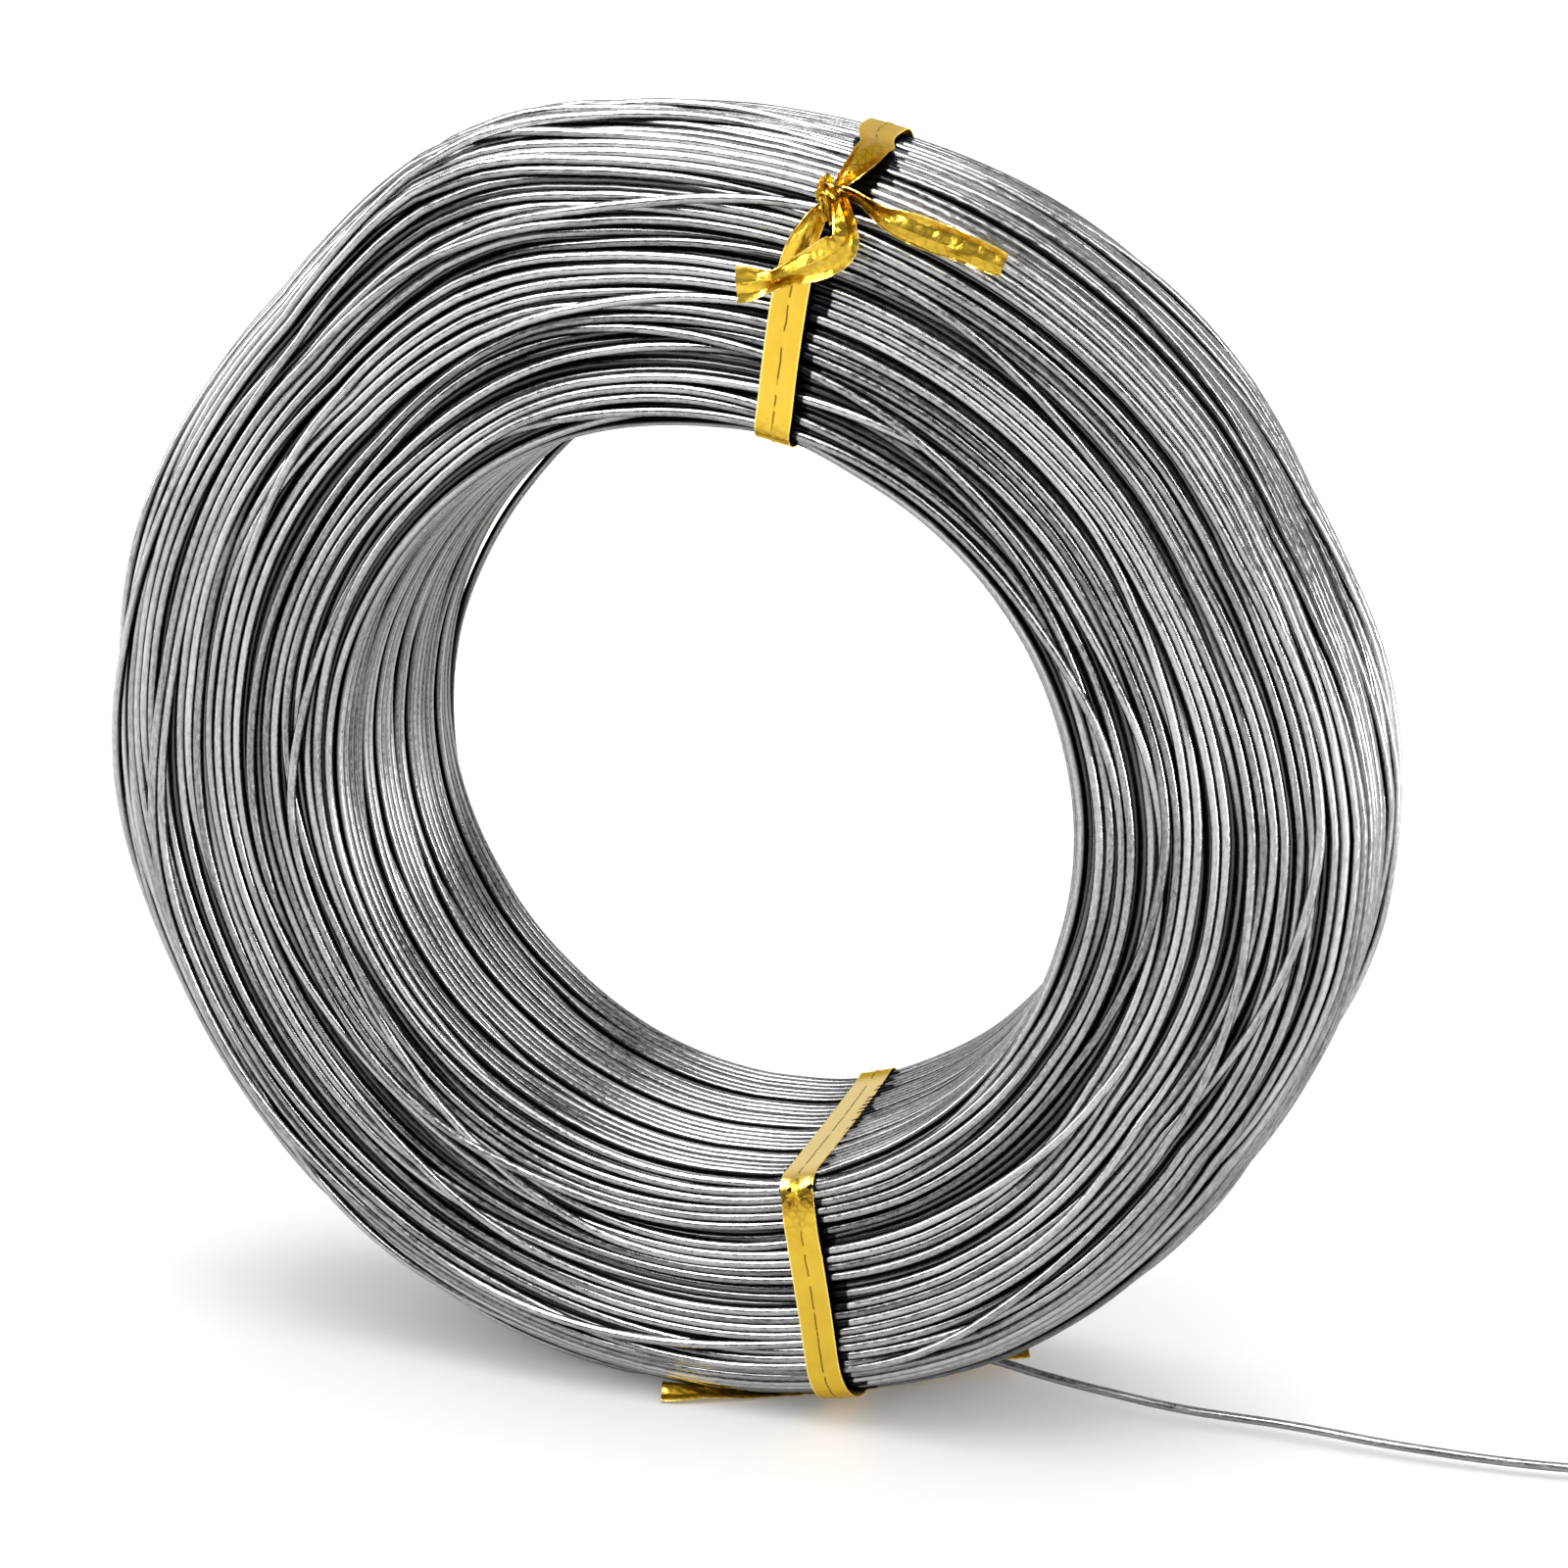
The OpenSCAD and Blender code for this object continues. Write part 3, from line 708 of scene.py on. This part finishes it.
# short ways to add nodes to a tree; all but made and fill give back the socket with the result
def nodeTools(tree):
    nodes, links = tree.nodes, tree.links

    def fill(node, inputs):
        for key, value in inputs.items():
            socket = node.inputs[key]
            if isinstance(value, bpy.types.NodeSocket):
                links.new(value, socket)
            else:
                socket.default_value = (*value, 1) if socket.type == "RGBA" else value

    def made(kind, inputs=None, **settings):
        node = nodes.new("ShaderNode" + kind)
        for name, value in settings.items():
            setattr(node, name, value)
        fill(node, inputs or {})
        return node

    def worked(operation, *values):
        return made("Math", dict(enumerate(values)), operation=operation).outputs[0]

    def mapped(value, low, high, start, end, smooth=False):
        spans = {"Value": value, "From Min": low, "From Max": high, "To Min": start, "To Max": end}
        shape = "SMOOTHSTEP" if smooth else "LINEAR"
        return made("MapRange", spans, interpolation_type=shape).outputs[0]

    def blended(factor, first, second):
        parts = {"Factor": factor, "A": first, "B": second}
        return made("Mix", parts, data_type="RGBA").outputs["Result"]

    def noise(vector, scale, detail):
        return made("TexNoise", {"Vector": vector, "Scale": scale, "Detail": detail}).outputs["Fac"]

    def stretched(vector, amounts):
        return made("VectorMath", {0: vector, 1: amounts}, operation="MULTIPLY").outputs[0]

    def measured(vector):
        return made("VectorMath", {0: vector}, operation="LENGTH").outputs["Value"]

    def combined(x, y, z):
        return made("CombineXYZ", {"X": x, "Y": y, "Z": z}).outputs[0]

    def marked(name):
        return made("Attribute", attribute_name=name).outputs["Fac"]

    def bumped(height, strength, distance):
        look = {"Height": height, "Strength": strength, "Distance": distance}
        return made("Bump", look).outputs[0]

    return SimpleNamespace(
        fill=fill, made=made, worked=worked, mapped=mapped, blended=blended, noise=noise, stretched=stretched,
        measured=measured, combined=combined, marked=marked, bumped=bumped)


def newMaterial(name):
    material = bpy.data.materials.new(name)
    material.use_nodes = True
    tree = material.node_tree
    return material, tree.nodes["Principled BSDF"], nodeTools(tree)


def newGroup(name, inlets, outlets):
    group = bpy.data.node_groups.new(name, "ShaderNodeTree")
    for way, sockets in (("INPUT", inlets), ("OUTPUT", outlets)):
        for label, kind in sockets.items():
            group.interface.new_socket(label, in_out=way, socket_type="NodeSocket" + kind)
    inlet, outlet = group.nodes.new("NodeGroupInput"), group.nodes.new("NodeGroupOutput")
    return group, inlet.outputs, outlet, nodeTools(group)


grainLook = {
    "streakScale": 2600,
    "streakStretch": (0.03, 1, 1),     # long along the wire
    "fleckScale": 3800,
    "fleckStretch": (0.35, 1, 1),
    "mix": (0.9, -0.4),                # brings the sum of both back to about 0 to 1
    "toneShare": 0.5,                  # how much a whole turn may be lighter or darker
    "bump": 0.08,
    "bumpDistance": 0.00004,
    "arcR": 0.055,                     # metres: radius at which angles become lengths
}


# the surface of drawn wire: streaks and short flecks along it
def grainGroup():
    group, given, outlet, tools = newGroup(
        "drawnGrain",
        {"Place": "Vector", "Tone": "Float", "Dark": "Color", "Light": "Color",
         "Smooth": "Float", "Rough": "Float"},
        {"Color": "Color", "Roughness": "Float", "Height": "Float"})
    drawn = tools.stretched(given["Place"], grainLook["streakStretch"])
    pitted = tools.stretched(given["Place"], grainLook["fleckStretch"])
    streak = tools.noise(drawn, grainLook["streakScale"], 3)
    fleck = tools.noise(pitted, grainLook["fleckScale"], 2)
    grain = tools.worked("MULTIPLY_ADD", tools.worked("ADD", streak, fleck), *grainLook["mix"])
    toned = tools.worked("MULTIPLY_ADD", given["Tone"], grainLook["toneShare"], grain)
    tools.fill(outlet, {
        "Color": tools.blended(tools.mapped(toned, 0.35, 1.1, 0, 1), given["Dark"], given["Light"]),
        "Roughness": tools.mapped(grain, 0.35, 0.65, given["Smooth"], given["Rough"]),
        "Height": grain,
    })
    return group


drawnGrain = grainGroup()


# metres beside a tie within which a turn is painted dark as the tie's shadow: a share drawn for each turn,
# and for its flanks
tieShadowReach = {
    "longest": 0.0019, "power": 1.6, "flank": 0.0006, "least": 0.00025, "halfTie": 0.0018, "under": -0.0033,
}


# painted shadow beside the ties, where the pressed turns come up again at their own distances
def tieShadowGroup():
    labels = ("Angle", "Radius", "Depth", "Tone", "Open")
    group, given, outlet, tools = newGroup("paintedShadowBesideTies", {label: "Float" for label in labels},
                                           {"Light": "Float"})
    worked = tools.worked

    def eased(value, low, high, start, end):
        return tools.mapped(value, low, high, start, end, smooth=True)

    radius, angle, depth = given["Radius"], given["Angle"], given["Depth"]
    dice = worked("FRACT", worked("MULTIPLY", given["Tone"], 37.7))
    reach = worked("MULTIPLY", worked("POWER", dice, tieShadowReach["power"]), tieShadowReach["longest"])
    flank = worked("MULTIPLY", worked("SUBTRACT", 1, given["Open"]), tieShadowReach["flank"])
    reach = worked("ADD", worked("ADD", reach, flank), tieShadowReach["least"])
    # the ties' own sideways course, which the painted shadow follows
    bottomSide = worked("ADD", eased(radius, 0.043, 0.067, 0, 0.0019),
                        eased(depth, -0.014, 0.0125, 0, -0.0021))
    onRim = worked("MULTIPLY", eased(radius, 0.06, 0.066, 0, 1), eased(depth, -0.011, 0.001, 0, -0.0023))
    topSide = worked("ADD", worked("ADD", eased(radius, 0.043, 0.058, -0.0002, -0.0014), onRim),
                     eased(radius, 0.061, 0.067, 0, 0.0029))
    clear = None
    for tie, way, side in ((coil["bottomTie"], -1, bottomSide), (coil["topTie"], 1, topSide)):
        along = worked("MULTIPLY", worked("SUBTRACT", angle, math.radians(tie)), radius)
        beside = worked("MULTIPLY", worked("SUBTRACT", along, side), way)
        beside = worked("SUBTRACT", beside, tieShadowReach["halfTie"])
        under = worked("LESS_THAN", beside, tieShadowReach["under"])
        lit = worked("MAXIMUM", eased(worked("SUBTRACT", beside, reach), -0.0001, 0.00015, 0, 1), under)
        clear = lit if clear is None else worked("MINIMUM", clear, lit)
    tools.fill(outlet, {"Light": clear})
    return group


tieShadowNodes = tieShadowGroup()


metal = {
    # gap: near-black colour of the painted shade in the grooves between turns and the painted shadow beside
    # the ties
    "gap": (0.01, 0.01, 0.012),
    "glint": (0.35, 0.35, 0.36),
    "coatRoughness": 0.13,
    "looseCoat": 0.8,
    "looseTone": 0.6,
}


# polar: the grain runs round the coil, and the grooves between turns and the turns beside the ties are
# painted dark as shade and shadow
def wireMaterial(name, dark, light, smooth, rough, polar=True):
    material, shader, tools = newMaterial(name)
    where = tools.made("TexCoord").outputs["Object"]
    look = {"Dark": dark, "Light": light, "Smooth": smooth, "Rough": rough}
    if polar:
        axes = tools.made("SeparateXYZ", {0: where}).outputs
        angle = tools.worked("ARCTAN2", axes["X"], axes["Z"])
        radius = tools.measured(tools.combined(axes["X"], 0, axes["Z"]))
        place = tools.combined(tools.worked("MULTIPLY", angle, grainLook["arcR"]), radius, axes["Y"])
        tone, spotOpen = tools.marked("turnTone"), tools.marked("openness")
        grain = tools.made("Group", {**look, "Place": place, "Tone": tone}, node_tree=drawnGrain).outputs
        spot = {"Angle": angle, "Radius": radius, "Depth": axes["Y"], "Tone": tone, "Open": spotOpen}
        tieShadow = tools.made("Group", spot, node_tree=tieShadowNodes).outputs["Light"]
        # painted shade and shadow: where this is low, the base colour goes near-black and the coat fades
        coat = tools.worked("MULTIPLY", spotOpen, tieShadow)
        colour = tools.blended(coat, metal["gap"], grain["Color"])
    else:
        single = {**look, "Place": where, "Tone": metal["looseTone"]}
        grain = tools.made("Group", single, node_tree=drawnGrain).outputs
        coat, colour = metal["looseCoat"], grain["Color"]
    tools.fill(shader, {
        "Base Color": colour,
        "Metallic": 1,
        "Roughness": grain["Roughness"],
        "Specular Tint": metal["glint"],
        "Coat Weight": coat,
        "Coat Roughness": metal["coatRoughness"],
        "Normal": tools.bumped(grain["Height"], grainLook["bump"], grainLook["bumpDistance"]),
    })
    return material


brightWire = wireMaterial("drawnAluminium", (0.085, 0.085, 0.087), (0.47, 0.468, 0.466), 0.22, 0.36)
looseMetal = wireMaterial("drawnAluminiumLoose", (0.08, 0.08, 0.085), (0.28, 0.28, 0.29), 0.26, 0.44, False)
# painted shade: the packed middle and the layer under the surface turns are darker copies of the aluminium,
# for the shade they lie in
shadedInnerMetal = wireMaterial("shadedAluminium", (0.02, 0.02, 0.022), (0.07, 0.07, 0.075), 0.4, 0.6)
shadedUnderMetal = wireMaterial("shadedUnderAluminium", (0.07, 0.07, 0.072), (0.24, 0.24, 0.245), 0.25, 0.45)
for piece in wirePieces[:-1]:
    piece.data.materials.append(brightWire)
wirePieces[-1].data.materials.append(shadedUnderMetal)
packing.data.materials.append(shadedInnerMetal)
looseWire.data.materials.append(looseMetal)

film = {
    "plainDark": (0.64, 0.42, 0.04),
    "plainLight": (0.71, 0.48, 0.05),
    # painted paler, lighter tone of the flat film in the bore, for how it shows lit there
    "boreLitTone": (0.98, 0.76, 0.34),
    "edge": (0.95, 0.75, 0.2),
    # painted shade and reflection of the creases
    "creaseShade": (0.22, 0.095, 0.008),
    "seam": (0.16, 0.08, 0.01),
    "glint": (0.9, 0.66, 0.16),
    "bump": 0.5,
    "bumpDistance": 0.0002,
    "wrinkleScale": 900,
    "cloudScale": 350,
    "seamScale": 2.2,
}


# gold film: a dashed dark seam over the core, bright cut edges, and painted shade and reflection in brown
# along the creases, where it is crushed
def filmMaterial():
    material, shader, tools = newMaterial("goldFilm")
    worked, mapped, blended = tools.worked, tools.mapped, tools.blended
    where = tools.made("TexCoord").outputs["Object"]
    crush, across, along = (tools.marked(name) for name in ("crush", "acrossFilm", "alongFilm"))
    wrinkle = tools.made("TexVoronoi", {"Vector": where, "Scale": film["wrinkleScale"]},
                         feature="DISTANCE_TO_EDGE").outputs["Distance"]
    cloud = tools.noise(where, film["cloudScale"], 4)

    # the seam wanders a little and breaks off here and there
    wander = tools.made("TexNoise", {"W": along, "Scale": film["seamScale"], "Detail": 3},
                        noise_dimensions="1D").outputs["Fac"]
    seamAway = worked("ABSOLUTE", worked("SUBTRACT", across, worked("MULTIPLY_ADD", wander, 0.12, -0.06)))
    seam = worked("MULTIPLY", mapped(seamAway, 0.02, 0.07, 1, 0), mapped(wander, 0.38, 0.46, 0, 1))
    seam = worked("MULTIPLY", seam, mapped(crush, 0.1, 0.4, 1, 0))
    edge = mapped(worked("ABSOLUTE", across), 0.9, 0.97, 0, 1)

    # film that lies flat in the bore is less metallic, and painted paler and lighter for how it shows lit
    # there; crushed film is bright foil
    boreLitTone = mapped(crush, -1, 0, 1, 0)
    # painted shade and reflection: dark brown along the wrinkle lines of crushed film, and over crushed film
    # as a whole
    creased = worked("MULTIPLY", mapped(wrinkle, 0.02, 0.22, 1, 0), crush)
    paintedCreaseShade = worked("MAXIMUM", creased, mapped(crush, 0.25, 1.2, 0, 0.75))
    plain = blended(mapped(cloud, 0.3, 0.7, 0, 1), film["plainDark"], film["plainLight"])
    lit = blended(edge, blended(boreLitTone, plain, film["boreLitTone"]), film["edge"])
    creaseShaded = blended(paintedCreaseShade, lit, film["creaseShade"])
    height = worked("MULTIPLY", worked("ADD", wrinkle, cloud), mapped(crush, 0, 0.6, 0.06, 1))
    tools.fill(shader, {
        "Base Color": blended(seam, creaseShaded, film["seam"]),
        "Metallic": mapped(crush, -1, 0.6, 0.3, 0.9),
        "Roughness": mapped(cloud, 0.3, 0.7, 0.19, 0.27),
        "Specular Tint": film["glint"],
        "Normal": tools.bumped(height, film["bump"], film["bumpDistance"]),
    })
    return material


gold = filmMaterial()
for piece in tiePieces:
    piece.data.materials.append(gold)
print("materials made")


studio = {
    "floorSize": 8,
    "floorColour": (0.9, 0.9, 0.91),
    "nearGlow": 0.08,      # what the camera and gloss see of the floor beside its lit colour
    "farGlow": 0.6,
    "glowFrom": 0.14,      # metres from the point under the coil between which it grows
    "glowTo": 0.38,
    "glossFront": 0.1,     # what gloss sees of the dim room in front, and of the pale backdrop
    "glossBack": 0.66,
    "softLight": 0.85,     # the even light of the room on matt surfaces
    "lamps": [             # name, place, size, power, whether it lights matt surfaces, whether gloss
        ("leftSoftbox", (-1.0, -0.4, 0.4), (0.5, 0.6), 8, False, True),
        ("rightStrip", (0.95, -0.25, 0.06), (0.11, 0.3), 12, False, True),
        ("highStrip", (0.68, -0.35, 0.68), (0.09, 0.6), 7, False, True),
        ("overheadSoftbox", (-0.25, -0.42, 1.0), (0.6, 1.1), 56, False, True),
        ("ceilingLight", (0.12, 0.02, 1.2), (1.1, 1.1), 9, True, False),
    ],
}


def stageMaterial():
    material, shader, tools = newMaterial("paleFloor")
    rays = tools.made("LightPath").outputs
    seen = tools.worked("MAXIMUM", rays["Is Camera Ray"], rays["Is Glossy Ray"])
    seen = tools.worked("MAXIMUM", seen, rays["Is Transmission Ray"])
    away = tools.measured(tools.made("TexCoord").outputs["Object"])
    glow = tools.mapped(away, studio["glowFrom"], studio["glowTo"], studio["nearGlow"], studio["farGlow"],
                        smooth=True)
    tools.fill(shader, {
        "Base Color": studio["floorColour"],
        "Roughness": 0.9,
        "Emission Color": (1, 1, 1),
        "Emission Strength": tools.worked("MULTIPLY", seen, glow),
    })
    return material


def addStage():
    deselectAll()
    bpy.ops.mesh.primitive_plane_add(size=studio["floorSize"], location=(0, 0, coil["floorZ"]))
    floor = bpy.context.object
    floor.name = "studioFloor"
    floor.data.materials.append(stageMaterial())


def addLamp(name, place, size, power, onMatt, onGloss):
    turn = (-Vector(place)).to_track_quat("-Z", "Y").to_euler()
    bpy.ops.object.light_add(type="AREA", location=place, rotation=turn)
    lamp = bpy.context.object
    lamp.name = name
    lamp.data.shape = "RECTANGLE"
    lamp.data.size, lamp.data.size_y = size
    lamp.data.energy = power
    lamp.visible_diffuse = onMatt
    lamp.visible_glossy = onGloss


addStage()
for lampRow in studio["lamps"]:
    addLamp(*lampRow)


def addWorld():
    world = bpy.data.worlds.new("studio")
    bpy.context.scene.world = world
    world.use_nodes = True
    tools = nodeTools(world.node_tree)
    rays = tools.made("LightPath").outputs
    ways = tools.made("SeparateXYZ", {0: tools.made("TexCoord").outputs["Generated"]}).outputs
    room = tools.mapped(ways["Y"], -0.4, 0.5, studio["glossFront"], studio["glossBack"])
    gloss = tools.worked("MAXIMUM", rays["Is Glossy Ray"], rays["Is Transmission Ray"])
    light = tools.made("Mix", {"Factor": gloss, "A": studio["softLight"], "B": room}).outputs["Result"]
    strength = tools.worked("MAXIMUM", rays["Is Camera Ray"], light)
    tools.fill(world.node_tree.nodes["Background"], {"Color": (1, 1, 1), "Strength": strength})


addWorld()
bpy.context.scene.view_settings.view_transform = "Standard"
print("stage lit")
